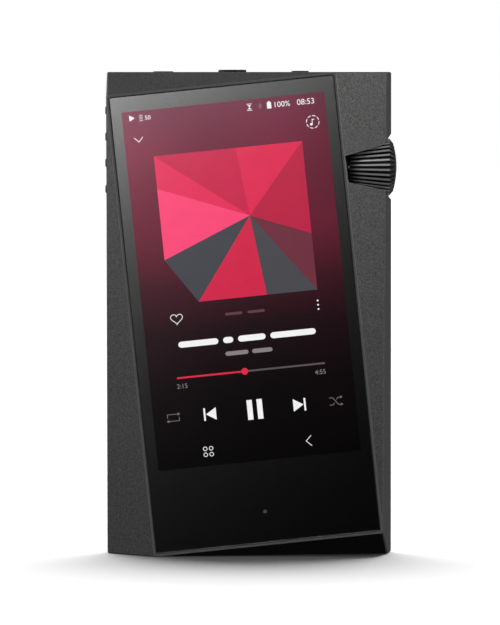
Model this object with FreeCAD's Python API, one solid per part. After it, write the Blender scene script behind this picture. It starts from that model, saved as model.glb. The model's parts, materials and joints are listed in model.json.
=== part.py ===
import FreeCAD, Part
import math
import os

# Pocket audio player: a block of metal whose front glass is turned a few degrees inside the
# outline, so four sloping facets run from the glass edges down to the side walls.
# X runs to the right, Y from the front to the back, Z up, in millimetres. The sizes below count
# x from the left wall, y from the middle of the depth and z from the bottom face.
Vec = FreeCAD.Vector

# outline of the housing
body_w = 63.9            # width across the back
body_h = 108.2
body_d = 16.1
right_lean = 7.43        # the right wall leans in towards the front, degrees
twist = 5.9              # turn of the glass inside the outline, degrees
depth_top_left = 6.6     # height of the walls above the back at the four corners
depth_top_right = 9.2
depth_bottom_right = 7.2
depth_bottom_left = 4.4
edge_chamfer = 0.25      # break of the outer edges
wall = 2.0               # side walls
facet_wall = 1.5
seam_gap = 0.1           # gap around a fixed panel

# front glass and display
bezel = 0.6              # metal rim around the glass, with its gap
glass_gap = 0.15
glass_t = 0.8
glass_r = 0.5
tape_t = 0.2
window_gap = 0.35        # picture to the edge of the black frame's window
window_r = 0.1
side_margin = 2.75       # glass beside the picture
top_margin = 3.85
bottom_margin = 18.65
panel_border = 1.2
panel_t = 0.9
backlight_t = 0.9
module_gap = 0.3
plate_t = 0.6
plate_gap = 0.1

# back cover
cover_margin = 1.1
cover_t = 0.8
cover_r = 1.5
cover_tape_t = 0.1
cover_tape_w = 0.7

# volume wheel, which turns about an axis along X near the top right
wheel_down = 21.3        # axis below the top of the housing
wheel_back_wall = 0.28   # metal behind the wheel's chamber
wheel_proud = 1.03       # crown of the end cap beyond the right wall
crown_rise = 0.73        # crown above the end of the bevel
bevel_l = 0.9
wheel_l = 8.9            # small end to the largest radius
wheel_r0 = 4.8
wheel_r1 = 6.42
wheel_r2 = 5.3
wheel_ridges = 34
ridge_height = 0.42
wheel_gap = 0.25
cap_r = 4.8
cap_seat = 0.6
cap_rim = 0.12           # rise of the end cap's rim above the bevel
shaft_r = 1.0
running_gap = 0.04
sleeve_t = 1.0
chamber_gap = 0.9        # free length at the wheel's small end
chamber_wall = 1.2
chamber_cheek = 1.58     # solid metal above and below the wheel
opening_in_left = 1.85   # how far the opening's edges lie inside the wheel's outline
opening_in_right = 1.17
opening_skew = 0.37      # the small end of the opening follows the glass edge
opening_drop = -0.35     # its middle lies a little below the wheel's axis there
notch_depth = 1.2
notch_out = 1.03         # notch at the wall's face, beyond the wheel's radius
notch_in = -0.42         # and at its floor
encoder_l = 4.6
encoder_w = 9.0
encoder_gap = 0.6
encoder_board_t = 0.8
clip_t = 0.4

# side buttons
button_names = ("power", "previous", "play", "next")
button_down = 8.6        # first button below the top
button_pitch = 5.87
button_y = 1.5
button_len = 5.0
button_w = 1.8
button_proud = 0.33
button_travel = 0.2
button_gap = 0.12
button_flange = 0.5
flange_t = 0.5
rest_gap = 0.05
nib_l = 0.9
plunger_r = 0.6
switch_w = 3.0
switch_l = 4.2
switch_t = 1.6
switch_board_t = 0.6
board_t = 1.0

# sockets on the top: name, x, hole radius, collar radius, rim height, depth
socket_y = 3.0
jacks = (
    ("jack_3_5", 12.6, 1.80, 2.3, 0.16, 14.0),
    ("jack_4_4", 28.1, 2.25, 3.15, 0.5, 17.5),
    ("jack_2_5", 43.3, 1.30, 1.95, 0.26, 12.0))
jack_wall = 1.25
collar_chamfer = 0.12
contact_t = 0.4
contact_w = 1.2

# sockets in the bottom
usb_x = 24.0
usb_w = 9.0
usb_h = 3.2
usb_t = 0.3
usb_l = 7.4
tongue_w = 6.7
tongue_t = 0.7
slot_x = 44.0
slot_w = 12.0
slot_h = 1.4
slot_l = 15.0
slot_t = 0.25
slider_travel = 1.2
slider_gap = 0.1

# boards, battery and the plate that carries them
board_x0 = 4.0
board_z0 = 17.2
audio_h = 17.2
board_split = 0.8
jack_room = 1.7          # free height between the deepest socket and the boards
shield_t = 1.3
shield_skin = 0.2
chip_t = 1.0
battery_x0 = 8.2
battery_side = 0.9       # free room beside the battery
battery_t = 6.0
battery_r = 1.5
battery_tape_t = 0.15
cable_w = 12.0
cable_t = 0.3
cable_up = 1.0           # cable above the lower edge of the display
post_r = 2.0
post_room = 2.0          # free room between a post and the battery
screw_r = 0.7
screw_head_r = 1.3
screw_head_t = 0.5
screw_bite = 1.4         # thread in the metal

# sizes that follow from those above
front_y = -body_d / 2
back_y = body_d / 2
draft = math.tan(math.radians(right_lean))
front_w = body_w - draft * body_d
angle = math.radians(twist)
quad_w = (front_w * math.cos(angle) - body_h * math.sin(angle)) / math.cos(2 * angle)
quad_h = (body_h * math.cos(angle) - front_w * math.sin(angle)) / math.cos(2 * angle)
quad_x = front_w / 2
quad_z = body_h / 2
glass_w = quad_w - 2 * bezel
glass_h = quad_h - 2 * bezel
active_w = glass_w - 2 * side_margin
active_h = glass_h - top_margin - bottom_margin
active_up = (bottom_margin - top_margin) / 2
glass_back = front_y + glass_t
tape_back = glass_back + tape_t
panel_back = tape_back + panel_t
light_back = panel_back + backlight_t
web_back = light_back + plate_gap
plate_back = web_back + plate_t
module_w = active_w + 2 * panel_border
module_h = active_h + 2 * panel_border
cover_front = back_y - cover_t
cavity_back = cover_front - cover_tape_t
wheel_z = body_h - wheel_down
wheel_y = back_y - wheel_back_wall - wheel_gap - wheel_r1
wheel_x3 = body_w + wheel_proud
wheel_x2 = wheel_x3 - crown_rise
wheel_x1 = wheel_x2 - bevel_l
wheel_x0 = wheel_x1 - wheel_l
wheel_slope = (wheel_r1 - wheel_r0) / wheel_l
chamber_x0 = wheel_x0 - chamber_gap
block_x0 = chamber_x0 - chamber_wall
block_half = wheel_r1 + chamber_cheek
notch_floor = body_w - notch_depth
encoder_x1 = block_x0 - encoder_gap
encoder_x0 = encoder_x1 - encoder_l
button_z = [body_h - button_down - i * button_pitch for i in range(len(button_names))]
flange_x1 = wall + rest_gap + flange_t
nib_x1 = flange_x1 + nib_l
switch_x0 = flange_x1 + button_travel + rest_gap
board_y = socket_y + (usb_h - seam_gap) / 2
board_back = board_y + board_t
board_x1 = encoder_x0 - encoder_board_t
audio_z1 = body_h - max(jack[5] for jack in jacks) - jack_room
audio_z0 = audio_z1 - audio_h
board_z1 = audio_z0 - board_split
low_posts_z = board_z0 + post_r + 0.8
high_posts_z = audio_z1 - audio_h / 2
battery_x1 = block_x0 - battery_side
battery_z0 = low_posts_z + post_r + post_room
battery_z1 = high_posts_z - post_r - post_room
slot_z0 = wall + seam_gap
origin_x = (wheel_x3 - button_proud) / 2


# ---- shapes used by more than one piece ----

def box(x0, x1, y0, y1, z0, z1):
    return Part.makeBox(x1 - x0, y1 - y0, z1 - z0, Vec(x0, y0, z0))


def rod_x(r, x0, x1, y, z):
    return Part.makeCylinder(r, x1 - x0, Vec(x0, y, z), Vec(1, 0, 0))


def rod_y(r, y0, y1, x, z):
    return Part.makeCylinder(r, y1 - y0, Vec(x, y0, z), Vec(0, 1, 0))


def rod_z(r, z0, z1, x, y):
    return Part.makeCylinder(r, z1 - z0, Vec(x, y, z0), Vec(0, 0, 1))


def prism(points, run):
    """Closed polygon through the points, pushed along the vector run."""
    wire = Part.makePolygon([Vec(*p) for p in points + [points[0]]])
    return Part.Face(wire).extrude(Vec(*run))


def rounded_plate(w, h, r, y0, y1):
    """Plate centred on the Y axis, w along X and h along Z, with rounded corners."""
    plate = box(-w / 2, w / 2, y0, y1, -h / 2, h / 2)
    corners = [e for e in plate.Edges if abs(e.tangentAt(e.FirstParameter).y) > 0.99]
    return plate.makeFillet(r, corners)


def turned(shape, up=0.0):
    """Puts a shape made about the Y axis on the turned glass, up along the glass."""
    shape.translate(Vec(0, 0, up))
    shape.rotate(Vec(0, 0, 0), Vec(0, 1, 0), -twist)
    shape.translate(Vec(quad_x, 0, quad_z))
    return shape


def on_glass(u, v):
    """Point of the front plane, u to the right and v up from the middle of the glass."""
    x = quad_x + u * math.cos(angle) - v * math.sin(angle)
    z = quad_z + u * math.sin(angle) + v * math.cos(angle)
    return Vec(x, front_y, z)


def right_wall_x(y):
    return body_w - draft * (back_y - y)


def trim(shape, p, q, r, inset):
    """Cuts away what lies outside the plane through p, q and r, moved in by inset."""
    normal = (q - p).cross(r - p)
    normal.normalize()
    if normal.dot(Vec(quad_x, 0, quad_z) - p) > 0:
        normal = -normal
    along = q - p
    along.normalize()
    across = normal.cross(along)
    reach = 2 * body_h
    base = p - normal * inset
    corners = [(-1, -1), (1, -1), (1, 1), (-1, 1)]
    points = [base + along * (a * reach) + across * (b * reach) for a, b in corners]
    outside = Part.Face(Part.makePolygon(points + [points[0]])).extrude(normal * reach)
    return shape.cut(outside)


def body_block(inset, facet_inset, y0, y1):
    """The faceted block, with its walls moved in by inset and its facets by facet_inset."""
    lean = inset * math.sqrt(1 + draft * draft)
    outline = [
        (inset, y0, inset), (right_wall_x(y0) - lean, y0, inset),
        (right_wall_x(y1) - lean, y1, inset), (inset, y1, inset)]
    block = prism(outline, (0, 0, body_h - 2 * inset))
    top_left = on_glass(-quad_w / 2, quad_h / 2)
    top_right = on_glass(quad_w / 2, quad_h / 2)
    bottom_right = on_glass(quad_w / 2, -quad_h / 2)
    bottom_left = on_glass(-quad_w / 2, -quad_h / 2)
    y = back_y - depth_top_left
    block = trim(block, top_left, top_right, Vec(0, y, body_h), facet_inset)
    y = back_y - depth_top_right
    block = trim(block, top_right, bottom_right, Vec(right_wall_x(y), y, body_h), facet_inset)
    y = back_y - depth_bottom_right
    block = trim(block, bottom_right, bottom_left, Vec(right_wall_x(y), y, 0), facet_inset)
    y = back_y - depth_bottom_left
    return trim(block, bottom_left, top_left, Vec(0, y, 0), facet_inset)


def wheel_block(grow):
    """The metal left solid around the wheel, which the cavity and the cover go round."""
    return box(block_x0 - grow, body_w + 1, front_y - 1, back_y + 1,
               wheel_z - block_half - grow, wheel_z + block_half + grow)


def cover_outline(inset, y0, y1):
    w = body_w - 2 * (cover_margin + inset)
    h = body_h - 2 * (cover_margin + inset)
    plate = rounded_plate(w, h, cover_r, y0, y1)
    plate.translate(Vec(body_w / 2, 0, body_h / 2))
    return plate.cut(wheel_block(inset))


def wheel_profile(grow):
    """Half section of the wheel's envelope, as (x, radius) from the small end to the bevel."""
    return [(wheel_x0, wheel_r0 + grow), (wheel_x1, wheel_r1 + grow), (wheel_x2, wheel_r2 + grow)]


def turned_solid(profile):
    """Solid of revolution about the wheel's axis from (x, radius) points."""
    points = [(profile[0][0], 0)] + profile + [(profile[-1][0], 0)]
    wire = Part.makePolygon([Vec(x, r, 0) for x, r in points + [points[0]]])
    solid = Part.Face(wire).revolve(Vec(0, 0, 0), Vec(1, 0, 0), 360)
    solid.translate(Vec(0, wheel_y, wheel_z))
    return solid


# ---- housing and covers ----

def wheel_opening():
    """Window through the facet, a trapezoid seen from the front, wider towards the wall."""
    x0 = chamber_x0 + 0.15
    mid = wheel_z + opening_drop
    half_left = wheel_r0 - opening_in_left
    half_right = wheel_r1 - opening_in_right
    left_top = (x0 - opening_skew, front_y - 1, mid + half_left)
    left_low = (x0 + opening_skew, front_y - 1, mid - half_left)
    right_low = (notch_floor, front_y - 1, wheel_z - half_right)
    right_top = (notch_floor, front_y - 1, wheel_z + half_right)
    return prism([left_top, left_low, right_low, right_top], (0, wheel_y - front_y + 1, 0))


def wheel_chamber():
    """Round room for the wheel behind the opening, a running gap larger than the wheel."""
    small = wheel_r0 + wheel_gap - (wheel_x0 - chamber_x0) * wheel_slope
    return turned_solid([
        (chamber_x0, small), (wheel_x1, wheel_r1 + wheel_gap), (body_w + 2, wheel_r1 + wheel_gap)])


def wheel_notch():
    """Notch right through the depth of the right wall, with slanted ends."""
    half_in = wheel_r1 + notch_in
    half_out = wheel_r1 + notch_out + (notch_out - notch_in) / notch_depth
    outline = [
        (notch_floor, front_y - 1, wheel_z - half_in),
        (body_w + 1, front_y - 1, wheel_z - half_out),
        (body_w + 1, front_y - 1, wheel_z + half_out),
        (notch_floor, front_y - 1, wheel_z + half_in)]
    return prism(outline, (0, body_d + 2, 0))


def pill(length, width, x0, x1, y, z):
    """Slot-shaped bar along X, long along Y."""
    half = length / 2 - width / 2
    bar = box(x0, x1, y - half, y + half, z - width / 2, z + width / 2)
    bar = bar.fuse(rod_x(width / 2, x0, x1, y - half, z))
    return bar.fuse(rod_x(width / 2, x0, x1, y + half, z)).removeSplitter()


def flat_pill(length, width, z0, z1, x, y):
    """Slot-shaped bar along Z, long along X."""
    half = length / 2 - width / 2
    bar = box(x - half, x + half, y - width / 2, y + width / 2, z0, z1)
    bar = bar.fuse(rod_z(width / 2, z0, z1, x - half, y))
    return bar.fuse(rod_z(width / 2, z0, z1, x + half, y)).removeSplitter()


def outer_body():
    """The outer block with its edges broken, apart from those around the glass."""
    block = body_block(0, 0, front_y, back_y)
    keep = [e for e in block.Edges if max(v.Point.y for v in e.Vertexes) > front_y + 0.01]
    return block.makeChamfer(edge_chamfer, keep)


def plate_screw_points():
    """Four points beside and below the display, where the front web is solid."""
    side = module_w / 2 + module_gap + screw_head_r + 0.2
    low = active_up - module_h / 2 - 2 * screw_head_r - 1.5
    spots = ((side, -0.22 * glass_h), (side, 0.12 * glass_h), (-0.25 * glass_w, low), (0.3 * glass_w, low))
    return [on_glass(u, v) for u, v in spots]


def post_points():
    """Posts of the plate under the corners of the boards, clear of the facets."""
    right = board_x1 - post_r - 1.5
    return ((board_x0 + 8.0, low_posts_z), (right - 1.0, low_posts_z),
            (board_x0 + 5.0, high_posts_z), (right - 1.0, high_posts_z))


def main_housing():
    shell = outer_body()
    recess = rounded_plate(glass_w + 2 * glass_gap, glass_h + 2 * glass_gap, glass_r + glass_gap,
                           front_y - 1, tape_back)
    shell = shell.cut(turned(recess))
    window = rounded_plate(module_w + 2 * module_gap, module_h + 2 * module_gap, glass_r,
                           front_y - 1, web_back + 1)
    shell = shell.cut(turned(window, active_up))
    shell = shell.cut(body_block(wall, facet_wall, web_back, back_y + 1).cut(wheel_block(0)))
    shell = shell.cut(cover_outline(-seam_gap, cavity_back, back_y + 1))
    shell = shell.cut(wheel_opening()).cut(wheel_chamber()).cut(wheel_notch())
    shell = shell.cut(rod_x(shaft_r + sleeve_t, block_x0 - 1, chamber_x0 + 1, wheel_y, wheel_z))
    for z in button_z:
        hole = pill(button_len + 2 * button_gap, button_w + 2 * button_gap, -1, wall + 1, button_y, z)
        shell = shell.cut(hole)
    for name, x, r, collar_r, rise, depth in jacks:
        shell = shell.cut(rod_z(collar_r, body_h - wall - 1, body_h + 1, x, socket_y))
    shell = shell.cut(flat_pill(usb_w, usb_h, -1, wall + 1, usb_x, socket_y))
    slot = box(slot_x - slot_w / 2, slot_x + slot_w / 2, socket_y - slot_h / 2,
               socket_y + slot_h / 2, -1, wall + 1)
    shell = shell.cut(slot)
    for spot in plate_screw_points():
        shell = shell.cut(rod_y(screw_r, web_back - screw_bite, web_back + 1, spot.x, spot.z))
    return shell


def back_cover():
    return cover_outline(0, cover_front, back_y)


def back_cover_tape():
    ring = cover_outline(seam_gap, cavity_back, cover_front)
    return ring.cut(cover_outline(seam_gap + cover_tape_w, cavity_back - 1, back_y))


# ---- glass and display ----

def front_glass():
    return turned(rounded_plate(glass_w, glass_h, glass_r, front_y, glass_back))


def glass_tape():
    """Black frame of adhesive between the glass and the housing, open over the picture."""
    frame = turned(rounded_plate(glass_w, glass_h, glass_r, glass_back, tape_back))
    hole = rounded_plate(active_w + 2 * window_gap, active_h + 2 * window_gap, window_r, front_y,
                         tape_back + 1)
    return frame.cut(turned(hole, active_up))


def display_panel():
    return turned(rounded_plate(module_w, module_h, glass_r, tape_back, panel_back), active_up)


def display_backlight():
    tray = rounded_plate(module_w, module_h, glass_r, panel_back, light_back)
    return turned(tray, active_up)


def display_cable():
    """Flat cable from the back of the display, through the plate, to the main board."""
    low = on_glass(0, active_up - module_h / 2)
    x0 = low.x - cable_w / 2
    x1 = low.x + cable_w / 2
    z = low.z + cable_up
    run = box(x0, x1, light_back, board_y, z, z + cable_t)
    flap = box(x0, x1, light_back, light_back + plate_gap / 2, z, z + cable_w / 3)
    return run.fuse(flap).removeSplitter()


# ---- plate, boards and battery ----

def mid_plate():
    """Plate behind the display, with posts for the boards and a slot for the flat cable."""
    plate = body_block(wall + seam_gap, facet_wall + seam_gap, web_back, plate_back)
    plate = plate.cut(wheel_block(seam_gap))
    for x, z in post_points():
        plate = plate.fuse(rod_y(post_r, web_back, board_y, x, z))
        plate = plate.cut(rod_y(screw_r, board_y - screw_bite, board_y + 1, x, z))
    for spot in plate_screw_points():
        plate = plate.cut(rod_y(screw_r, web_back - 1, plate_back + 1, spot.x, spot.z))
    half = encoder_w / 2 + seam_gap
    plate = plate.cut(box(board_x1 - seam_gap, encoder_x1 + seam_gap, wheel_y - half, back_y,
                          wheel_z - half - 1, wheel_z + half + 1))
    low = on_glass(0, active_up - module_h / 2)
    half = cable_w / 2 + seam_gap
    z = low.z + cable_up
    return plate.cut(box(low.x - half, low.x + half, web_back - 1, plate_back + 1,
                         z - seam_gap, z + cable_t + seam_gap))


def screw(x, z, tip_y, head_y):
    """Screw along Y with its head at the back."""
    head = rod_y(screw_head_r, head_y, head_y + screw_head_t, x, z)
    head = head.cut(rod_y(screw_r / 2, head_y + screw_head_t / 2, head_y + 1, x, z))
    return head.fuse(rod_y(screw_r, tip_y, head_y, x, z)).removeSplitter()


def plate_screws():
    return [screw(p.x, p.z, web_back - screw_bite, plate_back) for p in plate_screw_points()]


def board_screws():
    return [screw(x, z, board_y - screw_bite, board_back) for x, z in post_points()]


def circuit_board(x0, x1, z0, z1):
    board = box(x0, x1, board_y, board_back, z0, z1)
    for x, z in post_points():
        board = board.cut(rod_y(screw_r, board_y - 1, board_y + 2, x, z))
    return board


def main_board():
    return circuit_board(board_x0, board_x1, board_z0, board_z1)


def audio_board():
    return circuit_board(board_x0, board_x1, audio_z0, audio_z1)


def port_board():
    """Small board behind the two sockets of the bottom face."""
    x0 = usb_x - usb_w / 2 - 1
    x1 = slot_x + slot_w / 2 + 1
    return box(x0, x1, board_y, board_back, slot_z0, board_z0)


def board_connector():
    """Plug block across the gap between the main board and the audio board."""
    return box(board_mid - 9, board_mid + 9, board_y - chip_t, board_y, board_z1 - 2, audio_z0 + 2)


def shield(x0, x1, z0, z1):
    """Thin open box soldered over the chips on the back of a board."""
    can = box(x0, x1, board_back, board_back + shield_t, z0, z1)
    return can.cut(box(x0 + shield_skin, x1 - shield_skin, board_back - 1,
                       board_back + shield_t - shield_skin, z0 + shield_skin, z1 - shield_skin))


board_mid = (board_x0 + board_x1) / 2
processor_area = (board_mid - 10, board_mid + 10, board_z1 - 22, board_z1 - 4)
audio_area = (board_mid - 12, board_mid + 12, audio_z0 + 2, audio_z1 - 2)


def processor_shield():
    return shield(*processor_area)


def audio_shield():
    return shield(*audio_area)


def chip(x, z, w, h):
    return box(x - w / 2, x + w / 2, board_back, board_back + chip_t, z - h / 2, z + h / 2)


def processor():
    return chip(board_mid, board_z1 - 13, 12, 12)


def converter_chips():
    """Two identical converters side by side, one for each channel."""
    z = (audio_z0 + audio_z1) / 2
    return [chip(board_mid + side * 6.5, z, 7, 7) for side in (-1, 1)]


def memory_chips():
    return [chip(board_mid + side * 8, board_z1 - 27.5, 11, 8) for side in (-1, 1)]


def clock_crystals():
    return [chip(board_mid + side * 15, board_z1 - 13, 3.2, 2.5) for side in (-1, 1)]


def battery():
    """Soft-pack cell with rounded long edges, bonded to the plate."""
    y0 = plate_back + battery_tape_t
    cell = box(battery_x0, battery_x1, y0, y0 + battery_t, battery_z0, battery_z1)
    sides = [e for e in cell.Edges if abs(e.tangentAt(e.FirstParameter).z) > 0.99]
    return cell.makeFillet(battery_r, sides)


def battery_tape():
    return box(battery_x0 + battery_r, battery_x1 - battery_r, plate_back,
               plate_back + battery_tape_t, battery_z0 + 2, battery_z1 - 2)


def battery_lead():
    """Flat lead from the top of the cell back to the audio board."""
    x = battery_x1 - 10
    z = battery_z1
    y0 = plate_back + battery_tape_t + battery_t / 2
    out = box(x - 3, x + 3, y0, y0 + 0.4, z, z + 1.2)
    back = box(x - 3, x + 3, y0, board_y, z + 0.8, z + 1.2)
    return out.fuse(back).removeSplitter()


def antenna():
    """Thin strip beside the right-hand edge of the main board."""
    return box(board_x1, block_x0 - 1, board_y, board_y + 0.3, board_z1 - 22, board_z1 - 2)


# ---- sockets ----

def jack_collar(x, r, collar_r, rise):
    """Turned ring pressed into the top wall, standing a little above it."""
    z0 = body_h - wall
    ring = rod_z(collar_r, z0, body_h + rise, x, socket_y)
    rim = [e for e in ring.Edges if e.Length > 1 and e.BoundBox.ZMin > body_h + rise - 0.01]
    ring = ring.makeChamfer(collar_chamfer, rim)
    return ring.cut(rod_z(r, z0 - 1, body_h + 2, x, socket_y))


def contact_spots(depth):
    """Height and side of each of a socket's four contacts."""
    foot = body_h - depth
    levels = (foot + 0.35 * (depth - wall), foot + 0.7 * (depth - wall))
    return [(z, side) for z in levels for side in (-1, 1)]


def side_bar(x, side, near, far, half_y, z, half_z):
    """Box that reaches from near to far on one side of a socket's axis."""
    x0 = min(x + side * near, x + side * far)
    x1 = max(x + side * near, x + side * far)
    return box(x0, x1, socket_y - half_y, socket_y + half_y, z - half_z, z + half_z)


def jack_body(x, r, depth):
    """Moulded body under the top wall, bored for the plug, with windows for its contacts."""
    z1 = body_h - wall
    half = r + jack_wall
    body = box(x - half, x + half, socket_y - half, socket_y + half, body_h - depth, z1)
    body = body.cut(rod_z(r, body_h - depth + 1, z1 + 1, x, socket_y))
    for z, side in contact_spots(depth):
        body = body.cut(side_bar(x, side, r - 0.2, half + 1, contact_w / 2, z, 2 * contact_t))
    return body


def jack_contacts(x, r, depth):
    """Leaf contacts set in the side windows of the body, just clear of the bore."""
    leaves = []
    for z, side in contact_spots(depth):
        leaves.append(side_bar(x, side, r + rest_gap, r + jack_wall, contact_w / 2, z, contact_t / 2))
    return leaves


def usb_shell():
    """Drawn metal tube of the charging socket, closed at its inner end."""
    tube = flat_pill(usb_w - seam_gap, usb_h - seam_gap, usb_t, usb_l, usb_x, socket_y)
    inner = flat_pill(usb_w - seam_gap - 2 * usb_t, usb_h - seam_gap - 2 * usb_t,
                      0, usb_l - usb_t, usb_x, socket_y)
    return tube.cut(inner)


def usb_tongue():
    return box(usb_x - tongue_w / 2, usb_x + tongue_w / 2, socket_y - tongue_t / 2,
               socket_y + tongue_t / 2, usb_t + 0.7, usb_l - usb_t)


def card_slot_shell():
    """Folded metal cover of the memory card slot, open at the bottom face."""
    w = slot_w / 2 + slot_t
    y0 = socket_y - slot_h / 2 - slot_t
    shell = box(slot_x - w, slot_x + w, y0, board_y, slot_z0, slot_z0 + slot_l)
    return shell.cut(box(slot_x - slot_w / 2, slot_x + slot_w / 2, y0 + slot_t, board_y + 1,
                         slot_z0 - 1, slot_z0 + slot_l - slot_t))


def card_slot_base():
    """Moulded floor of the slot, on the board, which leaves the card its room."""
    return box(slot_x - slot_w / 2 + seam_gap, slot_x + slot_w / 2 - seam_gap,
               socket_y + slot_h / 2, board_y, slot_z0, slot_z0 + slot_l - slot_t - seam_gap)


def card_slider():
    """Push-push carriage at the inner end of the slot, which the card's edge moves."""
    top = slot_z0 + slot_l - slot_t - slider_travel - 3 * slider_gap
    half = slot_w / 2 - 2 * slider_gap
    y0 = socket_y - slot_h / 2 + slider_gap
    y1 = socket_y + slot_h / 2 - slider_gap
    bar = box(slot_x - half, slot_x + half, y0, y1, top - 1.2, top)
    arm = box(slot_x + half - 1.2, slot_x + half, y0, y1, top - 6, top)
    return bar.fuse(arm).removeSplitter()


# ---- volume wheel ----

def ridged_ring(x, r):
    """Star-shaped outline across the wheel's axis, with a flat-topped ridge at each step."""
    low = r - ridge_height * r / wheel_r1
    pitch = 2 * math.pi / wheel_ridges
    points = []
    for i in range(wheel_ridges):
        for share, radius in ((-0.34, low), (-0.17, r), (0.17, r), (0.34, low)):
            a = (i + share) * pitch
            points.append(Vec(x, wheel_y + radius * math.sin(a), wheel_z + radius * math.cos(a)))
    return Part.makePolygon(points + [points[0]])


def volume_wheel():
    rings = [ridged_ring(x, r) for x, r in wheel_profile(0)]
    wheel = Part.makeLoft(rings, True, True)
    seat = rod_x(cap_r, wheel_x2 - cap_seat, wheel_x3, wheel_y, wheel_z)
    wheel = wheel.cut(seat)
    return wheel.cut(rod_x(shaft_r, wheel_x0 - 1, wheel_x3, wheel_y, wheel_z))


def wheel_cap():
    """Slightly domed disc that closes the outer end of the wheel."""
    rim_x = wheel_x2 + cap_rim
    rise = wheel_x3 - rim_x
    sphere_r = (cap_r * cap_r + rise * rise) / (2 * rise)
    disc = rod_x(cap_r, wheel_x2 - cap_seat, wheel_x3, wheel_y, wheel_z)
    ball = Part.makeSphere(sphere_r, Vec(wheel_x3 - sphere_r, wheel_y, wheel_z))
    return disc.common(ball)


def wheel_shaft():
    return rod_x(shaft_r, encoder_x0 + 0.6, wheel_x2 - cap_seat, wheel_y, wheel_z)


def wheel_bushing():
    """Flanged brass sleeve in the wall between the cavity and the wheel's chamber."""
    flange = rod_x(shaft_r + 1.8 * sleeve_t, block_x0 - 0.5, block_x0, wheel_y, wheel_z)
    sleeve = rod_x(shaft_r + sleeve_t, block_x0, chamber_x0, wheel_y, wheel_z)
    bush = flange.fuse(sleeve)
    return bush.cut(rod_x(shaft_r + running_gap, block_x0 - 1, chamber_x0 + 1, wheel_y, wheel_z))


def wheel_light_ring():
    """Clear ring round the sleeve at the small end of the wheel, lit from behind."""
    ring = rod_x(wheel_r0 - 0.4, chamber_x0, chamber_x0 + 0.5, wheel_y, wheel_z)
    return ring.cut(rod_x(shaft_r + 0.6 * sleeve_t, chamber_x0 - 1, chamber_x0 + 1, wheel_y, wheel_z))


def encoder_body():
    """Square case of the rotary encoder, hollow for its rotor, with a hole for the shaft."""
    half = encoder_w / 2
    case = box(encoder_x0, encoder_x1, wheel_y - half, wheel_y + half, wheel_z - half, wheel_z + half)
    case = case.cut(rod_x(half - 0.8, encoder_x0 + 0.8, encoder_x1 - 0.8, wheel_y, wheel_z))
    return case.cut(rod_x(shaft_r + 2 * running_gap, encoder_x0 + 0.4, encoder_x1 + 1,
                          wheel_y, wheel_z))


def encoder_rotor():
    disc = rod_x(encoder_w / 2 - 1.1, encoder_x0 + 1.2, encoder_x1 - 1.6, wheel_y, wheel_z)
    return disc.cut(rod_x(shaft_r, encoder_x0, encoder_x1, wheel_y, wheel_z))


def wheel_clip():
    """Retaining ring on the shaft, in the free space between the rotor and the case."""
    x = encoder_x1 - 1.5
    ring = rod_x(shaft_r * 1.8, x, x + clip_t, wheel_y, wheel_z)
    return ring.cut(rod_x(shaft_r, encoder_x0, encoder_x1, wheel_y, wheel_z))


def encoder_board():
    half = encoder_w / 2
    return box(board_x1, encoder_x0, wheel_y - half, board_back, wheel_z - half - 1,
               wheel_z + half + 1)


# ---- side buttons ----

def side_button(z):
    """Pill-shaped cap with a wider flange behind the wall that keeps it in."""
    cap = pill(button_len, button_w, -button_proud, flange_x1, button_y, z)
    face = [e for e in cap.Edges if e.BoundBox.XMax < -button_proud + 0.01]
    cap = cap.makeFillet(button_proud * 0.6, face)
    flange = pill(button_len + 2 * button_flange, button_w + 2 * button_flange,
                  wall + rest_gap, flange_x1, button_y, z)
    return cap.fuse(flange).removeSplitter()


def button_plunger(z):
    """Stem of the switch, which moves with the cap."""
    return rod_x(plunger_r, flange_x1, nib_x1, button_y, z)


def side_switch(z):
    block = box(switch_x0, switch_x0 + switch_t, button_y - switch_l / 2, button_y + switch_l / 2,
                z - switch_w / 2, z + switch_w / 2)
    return block.cut(rod_x(plunger_r + 0.08, switch_x0 - 1, nib_x1 + button_travel + rest_gap,
                           button_y, z))


def side_switches():
    return [side_switch(z) for z in button_z]


def side_switch_board():
    """Board behind the switches, standing on the front of the audio board."""
    x0 = switch_x0 + switch_t
    return box(x0, x0 + switch_board_t, button_y - switch_l / 2, board_y,
               min(button_z) - switch_w / 2 - 0.8, max(button_z) + switch_w / 2 + 0.8)


# ---- writing ----

def save(name, shape):
    """Writes one node, as one solid or as a group, about the middle of the whole object."""
    if isinstance(shape, list):
        shape = Part.makeCompound(shape)
    shape.translate(Vec(-origin_x, 0, 0))
    shape.exportStep(f"parts/{name}.step")
    sound = shape.isValid() and len(shape.Solids) > 0
    print(f"{name}: {len(shape.Solids)} solid(s), {shape.Volume:.1f} mm3, {'ok' if sound else 'BAD'}")


pieces = (
    main_housing, back_cover, back_cover_tape, front_glass, glass_tape, display_panel,
    display_backlight, display_cable, mid_plate, plate_screws, board_screws, main_board,
    audio_board, port_board, board_connector, processor_shield, audio_shield, processor,
    converter_chips, memory_chips, clock_crystals, battery, battery_tape, battery_lead, antenna,
    usb_shell, usb_tongue, card_slot_shell, card_slot_base, card_slider, volume_wheel, wheel_cap,
    wheel_shaft, wheel_bushing, wheel_light_ring, encoder_body, encoder_rotor, wheel_clip,
    encoder_board, side_switches, side_switch_board)

os.makedirs("parts", exist_ok=True)
for piece in pieces:
    save(piece.__name__, piece())
for name, x, r, collar_r, rise, depth in jacks:
    save(name + "_collar", jack_collar(x, r, collar_r, rise))
    save(name + "_body", jack_body(x, r, depth))
    save(name + "_contacts", jack_contacts(x, r, depth))
for name, z in zip(button_names, button_z):
    save(name + "_button", side_button(z))
    save(name + "_plunger", button_plunger(z))
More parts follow.
